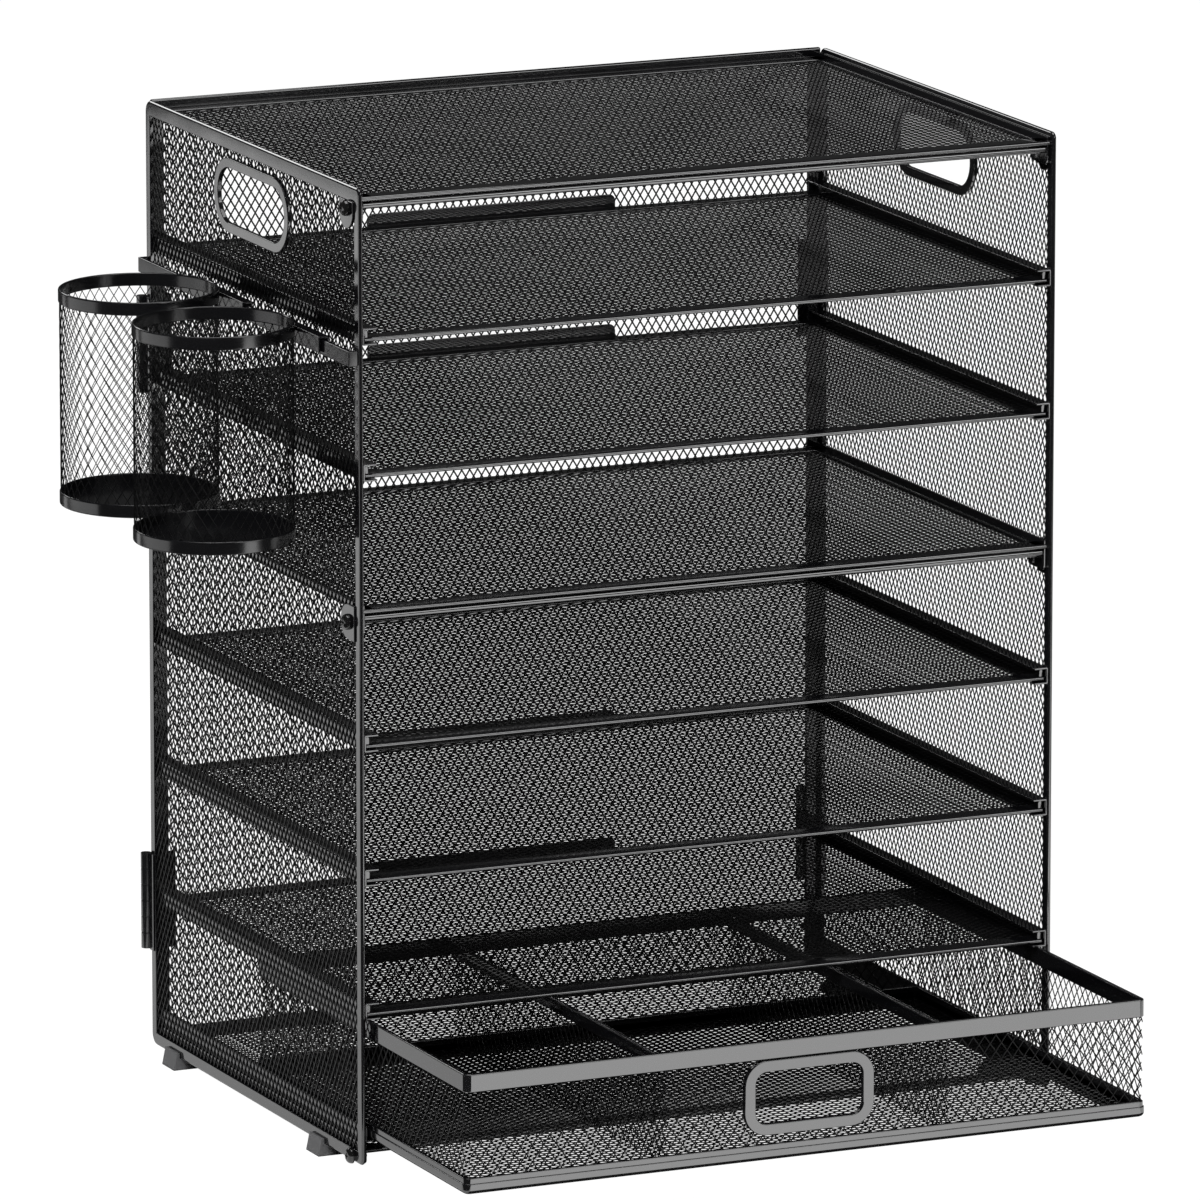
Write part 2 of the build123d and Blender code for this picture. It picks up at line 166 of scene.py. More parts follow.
def editNone(piece, mode):
    # Clears the selection, so that code can select what an operator then shapes
    pick(piece)
    bpy.context.tool_settings.mesh_select_mode = mode
    bpy.ops.object.mode_set(mode="EDIT")
    bpy.ops.mesh.select_all(action="DESELECT")
    editDone()


def roundEdges(piece, radius, steps, chosen):
    editNone(piece, (False, True, False))
    for edge in piece.data.edges:
        edge.select = chosen(*(piece.data.vertices[index].co / mm - corner for index in edge.vertices))
    bpy.ops.object.mode_set(mode="EDIT")
    bpy.ops.mesh.bevel(offset=radius * mm, segments=steps, affect="EDGES")
    editDone()


def roundCorners(piece, axis, radius, steps, where):
    # Rounds those edges along the axis whose middle passes the test
    def chosen(start, end):
        along = end - start
        return abs(along[axis]) > 0.9 * along.length and where((start + end) / 2)

    roundEdges(piece, radius, steps, chosen)


def roundLoop(piece, radius, steps, where):
    # Rounds those edges whose two ends both pass the test
    roundEdges(piece, radius, steps, lambda start, end: where(start) and where(end))


def everywhere(place):
    return True


def cutOut(piece, cutter):
    applyModifier(piece, "BOOLEAN", operation="DIFFERENCE", solver="EXACT", object=cutter)
    bpy.data.objects.remove(cutter)


def addRoundBlock(name, low, high, axis, radius, steps=8):
    block = addBlock(name, low, high)
    roundCorners(block, axis, radius, steps, everywhere)
    return block


def grown(low, high, amount):
    step = Vector(amount)
    return Vector(low) - step, Vector(high) + step


def addFinish(piece, material, slot, body, *nodes):
    piece.data.materials.clear()
    piece.data.materials.append(material)
    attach(piece, body)
    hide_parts(*nodes)


def dressed(name, node, edge):
    # A copy of a CAD node with its coated edges rounded
    piece = twinOf(bpy.data.objects[node], name)
    editAll(piece)
    bpy.ops.mesh.remove_doubles(threshold=0.002 * mm)
    bpy.ops.mesh.dissolve_limited(angle_limit=math.radians(1))
    editDone()
    soften(piece, edge, 2)
    return piece


# Materials

def linear(code):
    parts = [int(code[start:start + 2], 16) / 255 for start in (1, 3, 5)]
    return [part / 12.92 if part <= 0.04045 else ((part + 0.055) / 1.055) ** 2.4 for part in parts] + [1]


def addNode(tree, kind, inputs, **settings):
    node = tree.nodes.new(kind)
    for name, value in settings.items():
        setattr(node, name, value)
    for name, value in inputs.items():
        if isinstance(value, bpy.types.NodeSocket):
            tree.links.new(value, node.inputs[name])
        else:
            node.inputs[name].default_value = value
    return node


def startMaterial(name):
    material = bpy.data.materials.new(name)
    material.use_nodes = True
    tree = material.node_tree
    tree.nodes.clear()
    return material, tree


def coatedSteel(name, look):
    # Stoved black enamel on sheet steel: near black, very glossy, with a faint orange peel from spraying
    material, tree = startMaterial(name)
    place = addNode(tree, "ShaderNodeTexCoord", {})
    peel = addNode(
        tree, "ShaderNodeTexNoise",
        {"Vector": place.outputs["Object"], "Scale": 1 / (look["peelSize"] * mm), "Detail": 2.0},
    )
    bump = addNode(
        tree, "ShaderNodeBump",
        {"Height": peel.outputs["Fac"], "Strength": look["peelStrength"], "Distance": look["peelDepth"] * mm},
    )
    cloud = addNode(
        tree, "ShaderNodeTexNoise",
        {"Vector": place.outputs["Object"], "Scale": 1 / (look["cloudSize"] * mm), "Detail": 3.0},
    )
    gloss = addNode(
        tree, "ShaderNodeMapRange",
        {"Value": cloud.outputs["Fac"], "From Min": 0.3, "From Max": 0.7,
         "To Min": look["roughLow"], "To Max": look["roughHigh"]},
    )
    colour = addNode(tree, "ShaderNodeValToRGB", {"Fac": cloud.outputs["Fac"]})
    colour.color_ramp.elements[0].color = linear(look["dark"])
    colour.color_ramp.elements[1].color = linear(look["light"])
    shader = addNode(
        tree, "ShaderNodeBsdfPrincipled",
        {"Base Color": colour.outputs["Color"], "Roughness": gloss.outputs["Result"],
         "Normal": bump.outputs["Normal"], "IOR": look["ior"]},
    )
    addNode(tree, "ShaderNodeOutputMaterial", {"Surface": shader.outputs["BSDF"]})
    return material


enamelLook = {
    "dark": "#060607", "light": "#0c0c0e", "ior": 2.2, "roughLow": 0.06, "roughHigh": 0.1,
    "peelSize": 1.6, "peelStrength": 0.06, "peelDepth": 0.05, "cloudSize": 40,
}
meshLook = dict(enamelLook, dark="#040404", light="#080809", ior=1.3, roughLow=0.26, roughHigh=0.36)
floorLook = dict(meshLook, ior=1.5, roughLow=0.18, roughHigh=0.28)
cupLook = dict(enamelLook, ior=1.8, roughLow=0.15, roughHigh=0.22)
screwLook = dict(enamelLook, dark="#070707", light="#0e0e0e", ior=2.0, roughLow=0.1, roughHigh=0.16)
footLook = dict(
    enamelLook, dark="#464647", light="#505051", ior=1.5, roughLow=0.45, roughHigh=0.55,
    peelSize=0.5, peelStrength=0.2,
)
frameEnamel = coatedSteel("black stoved enamel on folded sheet", enamelLook)
meshEnamel = coatedSteel("black stoved enamel on expanded mesh", meshLook)
floorEnamel = coatedSteel("black stoved enamel on floor mesh", floorLook)
cupEnamel = coatedSteel("black stoved enamel on rolled bands", cupLook)
screwBlack = coatedSteel("black zinc screw", screwLook)
footNylon = coatedSteel("moulded grey nylon", footLook)
print("materials made")

# Side panels

sideLow, sideHigh = span("left_side_frame")
cabinet = {
    "middle": (sideLow[0] + span("right_side_frame")[1][0]) / 2,
    "depth": sideHigh[1],
    "height": sideHigh[2],
}
cutReach = 5.0  # How far a cutter stands past what it cuts
meshTuck = 2.0  # How far a cut mesh reaches under its ring
sidePanel = {
    "post": 5.0, "topBand": 6.5, "bottomBand": 5.5, "frontCorner": 3.0, "rearCorner": 5.0,
    "fold": 1.4, "edge": 0.25,
    "ringBand": 4.25, "ringCorner": 16.25, "ringEdge": 0.3, "ringSunk": 0.5, "ringSteps": 12,
    "lipInset": 1.6, "lipProud": 0.3, "lipStep": 0.2,
}
expandedMesh = {"cell": (3.9, 6.4), "strand": 0.7, "thick": 0.42, "edge": 0.16, "layerGap": 0.02}
floorMesh = dict(expandedMesh, cell=(6.4, 3.9), thick=0.48, edge=0.22)
drawerMesh = dict(expandedMesh, cell=(5.4, 7.3), strand=0.55)
facingTurns = {
    "side": ((1, 2, 0), (math.radians(90), 0, math.radians(90))),
    "front": ((0, 2, 1), (math.radians(90), 0, 0)),
    "floor": ((0, 1, 2), (0, 0, 0)),
}


def addLattice(name, low, high, facing, sheet):
    # Two families of slanting strands in touching layers, cut square at the sheet's borders
    order, turn = facingTurns[facing]
    width = high[order[0]] - low[order[0]]
    height = high[order[1]] - low[order[1]]
    cellWide, cellHigh = sheet["cell"]
    lean = math.atan2(cellWide, cellHigh)
    drift = height * cellWide / cellHigh / 2
    steps = math.ceil((width / 2 + drift) / cellWide) + 1
    bpy.ops.mesh.primitive_cube_add(size=1)
    family = bpy.context.active_object
    length = height / math.cos(lean) + 2 * cellHigh
    family.scale = Vector((sheet["strand"], length, sheet["thick"])) * mm
    settle(family)
    roundCorners(family, 1, sheet["edge"], 1, everywhere)
    family.rotation_euler = (0, 0, -lean)
    family.location = Vector((-steps * cellWide, 0, (sheet["thick"] + sheet["layerGap"]) / 2)) * mm
    settle(family)
    applyModifier(
        family, "ARRAY", count=2 * steps + 1, use_relative_offset=False,
        use_constant_offset=True, constant_offset_displace=(cellWide * mm, 0, 0),
    )
    pick(family)
    bpy.ops.object.duplicate()
    crossing = bpy.context.active_object
    crossing.rotation_euler = (0, math.radians(180), 0)
    settle(crossing)
    lattice = joinAll(name, [family, crossing])
    editAll(lattice)
    for side, edge in ((0, width), (1, height)):
        for sign in (-1, 1):
            place = [0, 0, 0]
            place[side] = sign * edge / 2 * mm
            normal = [0, 0, 0]
            normal[side] = sign
            bpy.ops.mesh.select_all(action="SELECT")
            bpy.ops.mesh.bisect(
                plane_co=place, plane_no=normal, use_fill=True, clear_outer=True, threshold=1e-7
            )
    editDone()
    lattice.rotation_euler = turn
    lattice.location = at((Vector(low) + Vector(high)) / 2)
    settle(lattice)
    return lattice


# Left panel first, the right one is its mirror image
leftFrame = addBlock("leftSideFrame", sideLow, sideHigh)
roundCorners(leftFrame, 0, sidePanel["frontCorner"], 6, lambda place: place[1] < cabinet["depth"] / 2)
roundCorners(leftFrame, 0, sidePanel["rearCorner"], 6, lambda place: place[1] > cabinet["depth"] - 1)
soften(leftFrame, sidePanel["fold"], 5)
cutOut(leftFrame, addBlock(
    "sideWindow",
    (-cutReach, sidePanel["post"], sidePanel["bottomBand"]),
    (cutReach, cabinet["depth"] - sidePanel["post"], cabinet["height"] - sidePanel["topBand"]),
))
soften(leftFrame, sidePanel["edge"])
ringLow, ringHigh = span("left_handle_ring")
meshLow, meshHigh = span("left_side_mesh")
ringLow[0] += sidePanel["ringSunk"]
lipInset = sidePanel["lipInset"]
lipLow, lipHigh = grown(ringLow, ringHigh, (0, -lipInset, -lipInset))
lipLow[0] = ringHigh[0] - 2 * sidePanel["lipStep"]
lipHigh[0] = meshHigh[0] + sidePanel["lipProud"]
ring = addRoundBlock("ring", ringLow, ringHigh, 0, sidePanel["ringCorner"], sidePanel["ringSteps"])
lip = addRoundBlock(  # Covers the cut mesh
    "lip", lipLow, lipHigh, 0, sidePanel["ringCorner"] - lipInset, sidePanel["ringSteps"],
)


def addHandleCutter(inset):
    return addRoundBlock(
        "handleHole", *grown(ringLow, ringHigh, (cutReach, -inset, -inset)), 0,
        sidePanel["ringCorner"] - inset, sidePanel["ringSteps"],
    )


for part, band, edge in (
    (ring, sidePanel["ringBand"], sidePanel["ringEdge"]),
    (lip, sidePanel["ringBand"] - sidePanel["lipStep"], sidePanel["lipStep"] / 2),
):
    cutOut(part, addHandleCutter(band))
    soften(part, edge)
leftRing = joinAll("leftHandleRing", [ring, lip])
leftMesh = addLattice("leftSideMesh", meshLow, meshHigh, "side", expandedMesh)
cutOut(leftMesh, addHandleCutter(meshTuck))
for piece, twinName, ending, material, slot in (
    (leftFrame, "rightSideFrame", "side_frame", frameEnamel, "frame_steel"),
    (leftRing, "rightHandleRing", "handle_ring", frameEnamel, "frame_steel"),
    (leftMesh, "rightSideMesh", "side_mesh", meshEnamel, "mesh_steel"),
):
    twin = mirrorOf(piece, twinName, slot == "frame_steel")
    addFinish(piece, material, slot, "cabinet", "left_" + ending)
    addFinish(twin, material, slot, "cabinet", "right_" + ending)
print("side panels made")

# Back panel

backPanel = {"post": 6.0, "topBand": 6.5, "bottomBand": 5.5, "fold": 0.95, "edge": 0.25}
backLow, backHigh = span("back_frame")
backFrame = addBlock("backFrame", backLow, backHigh)
soften(backFrame, backPanel["fold"], 4)
cutOut(backFrame, addBlock(
    "backWindow",
    (backLow[0] + backPanel["post"], backLow[1] - cutReach, backLow[2] + backPanel["bottomBand"]),
    (backHigh[0] - backPanel["post"], backHigh[1] + cutReach, backHigh[2] - backPanel["topBand"]),
))
soften(backFrame, backPanel["edge"])
addFinish(backFrame, frameEnamel, "frame_steel", "cabinet", "back_frame")
backMesh = addLattice("backMesh", *span("back_mesh"), "front", expandedMesh)
addFinish(backMesh, meshEnamel, "mesh_steel", "cabinet", "back_mesh")
print("back panel made")

# Decks and trays share a floor with borders and a rolled front wire

floorBorder = {"width": 8.0, "thick": 1.8, "wire": 1.0, "edge": 0.35}
deckFlange = {"wide": 1.5, "border": 6.0, "rise": 2.7, "earDepth": 16.0, "earCorner": 2.0, "edge": 0.35}
deckTube = {"sides": 32, "edge": 0.4}
trayHem = {
    "wide": 2.0, "rise": 4.3, "round": 0.9, "edge": 0.3,
    "lipThick": 1.2, "lipWide": 121.0, "lipRise": 6.8, "lipCorner": 3.0, "lipEdge": 0.4,
}


def addBorders(low, high, level):
    # Front and rear border with the rolled wire at the front
    front = low[1] + floorBorder["wire"]
    half = floorBorder["thick"] / 2
    parts = []
    for start, end in (
        (front, front + floorBorder["width"]),
        (high[1] - floorBorder["width"], high[1]),
    ):
        border = addBlock("border", (low[0], start, level - half), (high[0], end, level + half))
        soften(border, floorBorder["edge"], 2)
        parts.append(border)
    wire = addRod("wire", (low[0], front, level), (high[0], front, level), floorBorder["wire"], 20)
    soften(wire, floorBorder["edge"], 2)
    return parts + [wire], front


def addDeck(name, node):
    low, high = span(node + "_frame")
    meshLow, meshHigh = span(node + "_mesh")
    level = (meshLow[2] + meshHigh[2]) / 2
    parts, front = addBorders(low, high, level)
    for side, step in ((low[0], deckFlange["wide"]), (high[0], -deckFlange["wide"])):
        edges = sorted((side, side + step))
        flange = addBlock(
            "flange", (edges[0], front, level - floorBorder["thick"] / 2),
            (edges[1], high[1], level + deckFlange["rise"]),
        )
        ear = addBlock("ear", (edges[0], front, low[2]), (edges[1], front + deckFlange["earDepth"], level))
        roundCorners(ear, 0, deckFlange["earCorner"], 5, lambda place: place[2] < low[2] + 0.1)
        edges = sorted((side + step / 2, side + step / deckFlange["wide"] * deckFlange["border"]))
        hem = addBlock(
            "hem", (edges[0], front, level - floorBorder["thick"] / 2),
            (edges[1], high[1], level + floorBorder["thick"] / 2),
        )
        for part in (flange, ear, hem):
            soften(part, deckFlange["edge"], 2)
            parts.append(part)
    addFinish(joinAll(name + "Frame", parts), frameEnamel, "frame_steel", "cabinet", node + "_frame")
    floor = addLattice(name + "Mesh", meshLow, meshHigh, "floor", floorMesh)
    addFinish(floor, floorEnamel, "mesh_steel", "cabinet", node + "_mesh")


for name, node in (("topDeck", "top_deck"), ("middleDeck", "middle_deck"), ("bottomDeck", "bottom_deck")):
    addDeck(name, node)
for name, node in (("topDeckTube", "top_deck_tube"), ("middleDeckTube", "middle_deck_tube")):
    low, high = span(node)
    middle = (low + high) / 2
    tube = addRod(
        name, (low[0], middle[1], middle[2]), (high[0], middle[1], middle[2]), (high[2] - low[2]) / 2,
        deckTube["sides"],
    )
    soften(tube, deckTube["edge"], 2)
    addFinish(tube, frameEnamel, "frame_steel", "cabinet", node)
print("decks made")

trayLow, trayHigh = span("tray_1_frame")
trayMeshLow, trayMeshHigh = span("tray_1_mesh")
trayLevel = (trayMeshLow[2] + trayMeshHigh[2]) / 2
trayParts, trayFront = addBorders(trayLow, trayHigh, trayLevel)
hemTop = trayLevel + trayHem["rise"]
for side, step in ((trayLow[0], trayHem["wide"]), (trayHigh[0], -trayHem["wide"])):
    edges = sorted((side, side + step))
    hem = addBlock("hem", (edges[0], trayFront, trayLow[2]), (edges[1], trayHigh[1], hemTop))
    roundCorners(hem, 1, trayHem["round"], 4, lambda place: place[2] > trayLevel)
    soften(hem, trayHem["edge"], 2)
    trayParts.append(hem)
fingerLip = addBlock(
    "fingerLip",
    (cabinet["middle"] - trayHem["lipWide"] / 2, trayHigh[1] - trayHem["lipThick"], trayLevel),
    (cabinet["middle"] + trayHem["lipWide"] / 2, trayHigh[1], trayLevel + trayHem["lipRise"]),
)
roundCorners(fingerLip, 1, trayHem["lipCorner"], 6, lambda place: place[2] > trayLevel + 1)
soften(fingerLip, trayHem["lipEdge"], 2)
trayFrame = joinAll("tray1Frame", trayParts + [fingerLip])
trayMesh = addLattice("tray1Mesh", trayMeshLow, trayMeshHigh, "floor", floorMesh)
for number in range(1, 6):
    drop = (0, 0, span(f"tray_{number}_frame")[0][2] - trayLow[2])
    if number == 1:
        trayPair = trayFrame, trayMesh
    else:
        trayPair = copyOf(trayFrame, f"tray{number}Frame", drop), copyOf(trayMesh, f"tray{number}Mesh", drop)
    addFinish(trayPair[0], frameEnamel, "frame_steel", f"tray_{number}", f"tray_{number}_frame")
    addFinish(trayPair[1], floorEnamel, "mesh_steel", f"tray_{number}", f"tray_{number}_mesh")
print("trays made")

# Smaller steel pieces keep the solids' shapes with their edges rounded

for name, node, edge, material, slot in (
    ("leftTrayRails", "left_tray_rails", 0.2, frameEnamel, "frame_steel"),
    ("rightTrayRails", "right_tray_rails", 0.2, frameEnamel, "frame_steel"),
    ("drawerRunners", "drawer_runners", 0.2, frameEnamel, "frame_steel"),
    ("screwPlates", "screw_plates", 0.25, frameEnamel, "frame_steel"),
    ("deckNuts", "deck_nuts", 0.25, screwBlack, "screw_steel"),
    ("hingeSideLeaves", "hinge_side_leaves", 0.15, frameEnamel, "frame_steel"),
    ("hingeBackLeaves", "hinge_back_leaves", 0.15, frameEnamel, "frame_steel"),
    ("hingePins", "hinge_pins", 0.2, screwBlack, "screw_steel"),
    ("footClips", "feet", 0.4, footNylon, "foot_plastic"),
    ("cupBar", "cup_bar", 0.4, cupEnamel, "frame_steel"),
):
    addFinish(dressed(name, node, edge), material, slot, "cabinet", node)
print("rails, hinges, feet and bar made")

# Deck screws: pan heads with a cross recess

panHead = {
    "radius": 3.5, "height": 2.6, "dome": 2.2, "cross": 2.7, "slot": 0.8, "deep": 1.0,
    "shank": 1.5, "shankEdge": 0.3, "overlap": 0.2, "tip": 6.5, "earRise": 5.0,
}


def addScrew(place, tip):
    # Head towards -x, with its seat at the place and the shank's end at the tip
    top = (place[0] - panHead["height"], place[1], place[2])
    head = addRod("head", top, place, panHead["radius"], 32)
    roundLoop(head, panHead["dome"], 6, lambda end: end[0] < top[0] + 0.1)
    for wide, high in ((panHead["cross"], panHead["slot"]), (panHead["slot"], panHead["cross"])):
        low = (top[0] - cutReach, top[1] - wide / 2, top[2] - high / 2)
        deep = (top[0] + panHead["deep"], top[1] + wide / 2, top[2] + high / 2)
        cutOut(head, addBlock("recess", low, deep))
    smoothen(head)
    shank = addRod("shank", (place[0] - panHead["overlap"], place[1], place[2]), tip, panHead["shank"], 20)
    soften(shank, panHead["shankEdge"], 2)
    return joinAll("screw", [head, shank])


screwLow, screwHigh = span("deck_screws")
plateProud = -span("screw_plates")[0][0]
screwSetback = (screwLow[1] + screwHigh[1]) / 2
screwRows = (
    (screwHigh[2] - panHead["radius"], plateProud),
    (span("middle_deck_frame")[0][2] + panHead["earRise"], plateProud),
    (screwLow[2] + panHead["radius"], 0.0),
)
leftScrews = joinAll("leftScrews", [
    addScrew((-seat, screwSetback, height), (panHead["tip"], screwSetback, height))
    for height, seat in screwRows
])
rightScrews = mirrorOf(leftScrews, "rightScrews")
deckScrews = joinAll("deckScrews", [leftScrews, rightScrews])
addFinish(deckScrews, screwBlack, "screw_steel", "cabinet", "deck_screws")
print("screws made")

# Drawer

drawerRing = {"wall": 2.0, "corner": 3.0, "inner": 1.2, "edge": 0.6}
footBand = {
    "ridge": 4.6, "proud": 0.5, "edge": 0.35, "roll": 2.0, "stripLift": 1.0, "stripEdge": 0.4,
    "flange": 8.0, "flangeThick": 1.2, "flangeInset": 2.0, "flangeCorner": 1.2, "flangeEdge": 0.3,
}
pullRing = {"band": 5.0, "corner": 10.5, "edge": 0.45, "steps": 12}
dividerEdge = 0.6


def addHoop(name, low, high, wall, outer, inner, edge, roll=0):
    hoop = addRoundBlock(name, low, high, 2, outer)
    if roll:
        roundLoop(hoop, roll, 5, lambda end: end[2] < low[2] + 0.1)
    cutOut(hoop, addRoundBlock("hoopInside", *grown(low, high, (-wall, -wall, cutReach)), 2, inner))
    soften(hoop, edge)
    return hoop


rimLow, rimHigh = span("drawer_rim")
drawerRim = addHoop(
    "drawerRim", rimLow, rimHigh, drawerRing["wall"], drawerRing["corner"], drawerRing["inner"],
    drawerRing["edge"],
)
addFinish(drawerRim, frameEnamel, "frame_steel", "drawer", "drawer_rim")
bandLow, bandHigh = span("drawer_foot_band")
ridgeHigh = Vector((bandHigh[0], bandHigh[1], bandLow[2] + footBand["ridge"]))
ridge = addHoop(
    "ridge", bandLow, ridgeHigh, drawerRing["wall"] + footBand["proud"],
    drawerRing["corner"] + footBand["proud"], drawerRing["inner"], footBand["edge"], footBand["roll"],
)
stripLow = bandLow + Vector((0, 0, footBand["stripLift"]))
strip = addHoop(
    "strip", *grown(stripLow, bandHigh, (-footBand["proud"], -footBand["proud"], 0)), drawerRing["wall"],
    drawerRing["corner"], drawerRing["inner"], footBand["stripEdge"],
)
flangeHigh = Vector((bandHigh[0], bandHigh[1], bandLow[2] + footBand["flangeThick"]))
flange = addHoop(
    "flange", *grown(bandLow, flangeHigh, (-footBand["flangeInset"], -footBand["flangeInset"], 0)),
    footBand["flange"], footBand["flangeCorner"], footBand["flangeCorner"], footBand["flangeEdge"],
)
drawerFoot = joinAll("drawerFootBand", [ridge, strip, flange])
addFinish(drawerFoot, frameEnamel, "frame_steel", "drawer", "drawer_foot_band")

pullLow, pullHigh = span("drawer_pull_ring")
pull = addRoundBlock("drawerPullRing", pullLow, pullHigh, 1, pullRing["corner"], pullRing["steps"])


def addPullCutter(inset):
    return addRoundBlock(
        "pullHole", *grown(pullLow, pullHigh, (-inset, cutReach, -inset)), 1,
        pullRing["corner"] - inset, pullRing["steps"],
    )


cutOut(pull, addPullCutter(pullRing["band"]))
soften(pull, pullRing["edge"])
addFinish(pull, frameEnamel, "frame_steel", "drawer", "drawer_pull_ring")

for name, node, facing, sheet in (
    ("drawerFrontMesh", "drawer_front_mesh", "front", drawerMesh),
    ("drawerBackMesh", "drawer_back_mesh", "front", drawerMesh),
    ("drawerLeftMesh", "drawer_left_mesh", "side", drawerMesh),
    ("drawerRightMesh", "drawer_right_mesh", "side", drawerMesh),
    ("drawerBaseMesh", "drawer_base_mesh", "floor", floorMesh),
    ("leftDividerMesh", "drawer_left_divider_mesh", "side", drawerMesh),
    ("rightDividerMesh", "drawer_right_divider_mesh", "side", drawerMesh),
):
    wall = addLattice(name, *span(node), facing, sheet)
    if name == "drawerFrontMesh":
        cutOut(wall, addPullCutter(meshTuck))
    addFinish(wall, floorEnamel if sheet is floorMesh else meshEnamel, "mesh_steel", "drawer", node)
for name, node in (
    ("leftDividerRail", "drawer_left_divider_rail"),
    ("rightDividerRail", "drawer_right_divider_rail"),
):
    rail = addBlock(name, *span(node))
    soften(rail, dividerEdge)
    addFinish(rail, frameEnamel, "frame_steel", "drawer", node)
print("drawer made")

# Pen cups

penCup = {
    "bandWall": 1.4, "bandEdge": 0.6, "floor": 1.0, "floorLift": 0.3, "floorEdge": 0.2, "sides": 96,
    "cells": 46, "cellHigh": 7.4, "strand": 0.72, "flatness": 0.5, "layerShift": 0.15, "turnSteps": 20,
    "hookEdge": 0.3,
}


def addBand(name, middle, radius, low, high):
    # Profile of the band, spun round the cup's axis
    wall = penCup["bandWall"]
    profile = addBlock(
        name, (middle[0] + radius - wall, middle[1], low), (middle[0] + radius, middle[1] + 1, high)
    )
    editNone(profile, (True, False, False))
    for vertex in profile.data.vertices:
        vertex.select = (vertex.co / mm - corner)[1] > middle[1] + 0.5
    bpy.ops.object.mode_set(mode="EDIT")
    bpy.ops.mesh.delete(type="VERT")
    bpy.ops.mesh.select_all(action="SELECT")
    bpy.ops.mesh.bevel(offset=penCup["bandEdge"] * mm, segments=4, affect="VERTICES")
    bpy.ops.mesh.select_all(action="SELECT")
    bpy.ops.mesh.delete(type="ONLY_FACE")
    bpy.ops.mesh.select_all(action="SELECT")
    bpy.ops.mesh.spin(
        steps=penCup["sides"], angle=math.radians(360), center=at((middle[0], middle[1], low)), axis=(0, 0, 1)
    )
    bpy.ops.mesh.select_all(action="SELECT")
    bpy.ops.mesh.remove_doubles(threshold=0.005 * mm)
    bpy.ops.mesh.normals_make_consistent(inside=False)
    editDone()
    smoothen(profile)
    return profile


def addCupMesh(name, middle, radius, low, high):
    # Slanting strands wound part of the way round the cup, in two layers
    height = high - low
    turn = 2 * math.pi * height / penCup["cellHigh"] / penCup["cells"]
    families = []
    for sign in (1, -1):
        bpy.ops.mesh.primitive_circle_add(
            vertices=6, radius=penCup["strand"] / 2 * mm, rotation=(math.radians(90), 0, 0),
            location=((radius - sign * penCup["layerShift"]) * mm, 0, 0),
        )
        family = bpy.context.active_object
        family.scale = (penCup["flatness"], 1, 1)
        settle(family)
        applyModifier(
            family, "SCREW", axis="Z", angle=sign * turn, screw_offset=height * mm,
            steps=penCup["turnSteps"], render_steps=penCup["turnSteps"],
        )
        editAll(family)
        bpy.ops.mesh.fill_holes(sides=6)
        bpy.ops.mesh.normals_make_consistent(inside=False)
        editDone()
        bpy.ops.object.empty_add()
        turner = bpy.context.active_object
        turner.rotation_euler = (0, 0, 2 * math.pi / penCup["cells"])
        bpy.context.view_layer.update()
        applyModifier(
            family, "ARRAY", count=penCup["cells"], use_relative_offset=False,
            use_object_offset=True, offset_object=turner,
        )
        bpy.data.objects.remove(turner)
        families.append(family)
    mesh = joinAll(name, families)
    mesh.location = at((middle[0], middle[1], low))
    settle(mesh)
    smoothen(mesh, 60)
    return mesh


for name, node in (("frontCup", "front_cup"), ("rearCup", "rear_cup")):
    low, high = span(node + "_rim")
    baseLow, baseHigh = span(node + "_base")
    middle = (low + high) / 2
    radius = (high[0] - low[0]) / 2
    rim = addBand(name + "Rim", middle, radius, low[2], high[2])
    addFinish(rim, cupEnamel, "cup_steel", node, node + "_rim")
    band = addBand("band", middle, radius, baseLow[2], baseHigh[2])
    bpy.ops.mesh.primitive_cylinder_add(
        vertices=penCup["sides"], radius=(radius - penCup["bandWall"] / 2) * mm, depth=penCup["floor"] * mm,
        location=at((middle[0], middle[1], baseLow[2] + penCup["floor"] / 2 + penCup["floorLift"])),
    )
    disc = bpy.context.active_object
    settle(disc)
    soften(disc, penCup["floorEdge"], 2)
    base = joinAll(name + "Base", [band, disc])
    addFinish(base, cupEnamel, "cup_steel", node, node + "_base")
    wallLow, wallHigh = span(node + "_wall")
    wall = addCupMesh(name + "Wall", middle, radius - penCup["bandWall"] / 2, wallLow[2], wallHigh[2])
    addFinish(wall, meshEnamel, "mesh_steel", node, node + "_wall")
    hook = dressed(name + "Hook", node + "_hook", penCup["hookEdge"])
    addFinish(hook, cupEnamel, "cup_steel", node, node + "_hook")
print("cups made")

# Floor, light and camera

studio = {
    "floorSize": 40, "floorColour": "#e8e8e8", "whiteShare": 0.92, "whiteStrength": 1.09, "air": 0.04,
}
bpy.ops.mesh.primitive_plane_add(size=studio["floorSize"])
floor = bpy.context.active_object
floor.name = "paleFloor"
floor.visible_glossy = False  # The enamel mirrors the cards below instead
material, tree = startMaterial("matt white sweep")
path = addNode(tree, "ShaderNodeLightPath", {})
clear = addNode(
    tree, "ShaderNodeMath", {0: path.outputs["Is Camera Ray"], 1: path.outputs["Is Transmission Ray"]},
    operation="MAXIMUM",
)
share = addNode(
    tree, "ShaderNodeMath", {0: clear.outputs["Value"], 1: studio["whiteShare"]}, operation="MULTIPLY"
)
paper = addNode(tree, "ShaderNodeBsdfDiffuse", {"Color": linear(studio["floorColour"])})
glow = addNode(
    tree, "ShaderNodeEmission", {"Color": linear("#ffffff"), "Strength": studio["whiteStrength"]}
)
mixed = addNode(
    tree, "ShaderNodeMixShader",
    {0: share.outputs["Value"], 1: paper.outputs["BSDF"], 2: glow.outputs["Emission"]},
)
addNode(tree, "ShaderNodeOutputMaterial", {"Surface": mixed.outputs["Shader"]})
floor.data.materials.append(material)

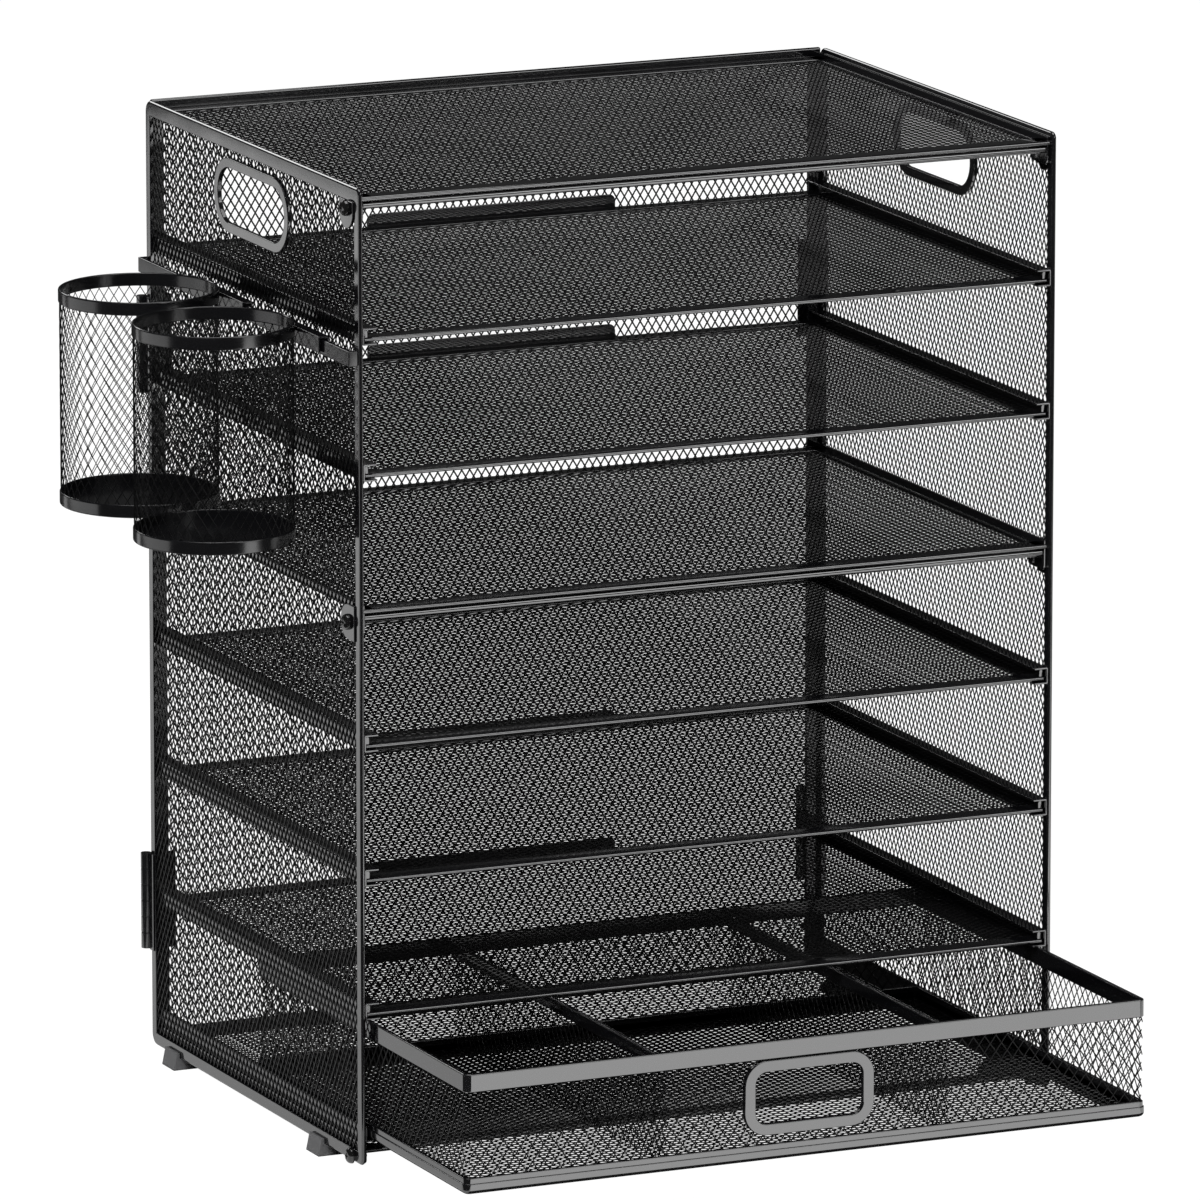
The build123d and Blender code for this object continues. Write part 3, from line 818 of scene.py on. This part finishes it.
world = bpy.data.worlds.new("studioAir")
bpy.context.scene.world = world
world.use_nodes = True
world.node_tree.nodes.clear()
airPath = addNode(world.node_tree, "ShaderNodeLightPath", {})
airLevel = addNode(
    world.node_tree, "ShaderNodeMapRange",
    {"Value": airPath.outputs["Is Camera Ray"], "To Min": studio["air"]},
)
air = addNode(
    world.node_tree, "ShaderNodeBackground",
    {"Color": linear("#ffffff"), "Strength": airLevel.outputs["Result"]},
)
addNode(world.node_tree, "ShaderNodeOutputWorld", {"Surface": air.outputs["Background"]})


def addLamp(name, kind, place, aim, power, **settings):
    lamp = bpy.data.lights.new(name, kind)
    lamp.energy = power
    for key, value in settings.items():
        setattr(lamp, key, value)
    holder = bpy.data.objects.new(name, lamp)
    bpy.context.scene.collection.objects.link(holder)
    holder.location = place
    holder.rotation_euler = (Vector(aim) - Vector(place)).to_track_quat("-Z", "Y").to_euler()
    return holder


# A soft box gives the plain level of light
softBox = {"place": (-1.4, -1.2, 2.3), "aim": (0, 0, 0.2), "power": 20, "side": 1.0, "spread": 70}
keyBox = addLamp(
    "keyBox", "AREA", softBox["place"], softBox["aim"], softBox["power"], shape="SQUARE",
    size=softBox["side"], spread=math.radians(softBox["spread"]),
)
keyBox.visible_glossy = False

# White cards round the object: only the reflections in its glossy enamel see them
cardLift = 1.0  # Keeps the low cards clear of the floor
cardPlan = {
    "frontCard": {
        "corners": ((-0.15, -0.198, 0), (0.26, -0.198, 0), (0.62, -2.0, 0), (1.2, -2.0, 0)),
        "reach": (-0.2, -2.0), "glow": (1.9, 2.1),
    },
    "leftCard": {
        "corners": ((-0.128, -0.25, 0), (-0.128, 0.3, 0), (-1.05, 1.7, 0), (-1.05, 2.4, 0)),
        "reach": (0.0, 2.0), "glow": (0.7, 1.15),
    },
    "sideCard": {
        "corners": ((-1.0, 0.0, 0), (-1.0, 1.2, 0), (-3.4, -0.2, 0), (-3.4, 4.0, 0)),
        "reach": (0.0, 2.0), "glow": (0.9, 0.9),
    },
    "rightCard": {
        "corners": ((0.23, -0.3, 0), (2.4, -0.9, 0), (0.5, 1.9, 0), (2.6, 1.6, 0)),
        "reach": (0.0, 2.0), "glow": (1.2, 1.2),
    },
    "leftWall": {
        "corners": ((-0.9, 2.3, 1.2), (0.35, 2.3, 1.2), (-0.9, 2.3, 1.6), (0.35, 2.3, 1.6)),
        "reach": (0.0, 2.0), "glow": (3.5, 3.5),
    },
    "frontWall": {
        "corners": ((0.2, -2.2, 0.9), (1.6, -1.4, 0.9), (0.2, -2.0, 1.7), (1.6, -1.2, 1.7)),
        "reach": (0.0, 2.0), "glow": (3.0, 3.0),
    },
    "topCard": {
        "corners": ((-0.8, -0.8, 2.4), (0.8, -0.8, 2.4), (-0.8, 0.8, 2.4), (0.8, 0.8, 2.4)),
        "reach": (-0.8, 0.8), "glow": (2.2, 2.2),
    },
}
for name, plan in cardPlan.items():
    bpy.ops.mesh.primitive_plane_add(size=1)
    card = bpy.context.active_object
    card.name = name
    for vertex, place in zip(card.data.vertices, plan["corners"]):
        vertex.co = Vector(place) + Vector((0, 0, cardLift * mm))
    card.visible_camera = False
    card.visible_diffuse = False
    card.visible_transmission = False
    card.visible_shadow = False
    material, tree = startMaterial("white card " + name)
    place = addNode(tree, "ShaderNodeTexCoord", {})
    along = addNode(tree, "ShaderNodeSeparateXYZ", {"Vector": place.outputs["Object"]})
    level = addNode(
        tree, "ShaderNodeMapRange",
        {"Value": along.outputs["Y"], "From Min": plan["reach"][0], "From Max": plan["reach"][1],
         "To Min": plan["glow"][0], "To Max": plan["glow"][1]},
    )
    glow = addNode(
        tree, "ShaderNodeEmission", {"Color": linear("#ffffff"), "Strength": level.outputs["Result"]}
    )
    addNode(tree, "ShaderNodeOutputMaterial", {"Surface": glow.outputs["Emission"]})
    card.data.materials.append(material)

photoView = {
    "place": (-2.2788, -5.0836, 1.4493), "turn": (77.65, 0, -24.29), "lens": 392.4, "sensor": 36,
}
cameraData = bpy.data.cameras.new("photoCamera")
cameraData.lens = photoView["lens"]
cameraData.sensor_width = photoView["sensor"]
camera = bpy.data.objects.new("photoCamera", cameraData)
bpy.context.scene.collection.objects.link(camera)
camera.location = photoView["place"]
camera.rotation_euler = [math.radians(angle) for angle in photoView["turn"]]
bpy.context.scene.camera = camera
bpy.context.scene.view_settings.view_transform = "Standard"
print("studio set")
